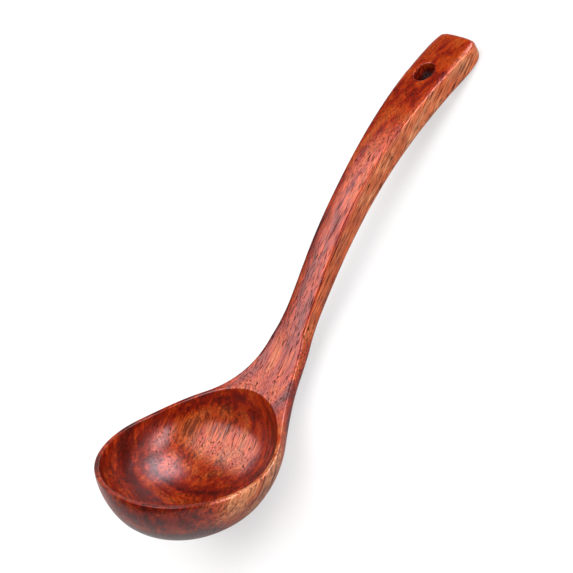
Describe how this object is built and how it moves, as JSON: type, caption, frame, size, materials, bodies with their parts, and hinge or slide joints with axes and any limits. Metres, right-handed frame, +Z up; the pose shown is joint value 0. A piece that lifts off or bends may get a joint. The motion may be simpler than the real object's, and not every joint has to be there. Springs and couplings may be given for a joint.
{
  "type": "soup ladle",
  "caption": "One-piece carved wooden soup ladle with a round deep bowl, a sweeping handle that bends back at the top and a hanging hole.",
  "frame": {"origin": "on the table, under the middle of the ladle's bounding box, as the ladle lies at rest on the bowl's underside and the end of the handle", "axes": "+X along the ladle from the bowl to the end of the handle, +Z up, +Y across the bowl"},
  "size_m": [0.2502, 0.0804, 0.0632],
  "materials": {
    "lacquered_hardwood": "semi-gloss"
  },
  "bodies": {
    "root": {"ladle": "lacquered_hardwood"}
  },
  "joints": []
}
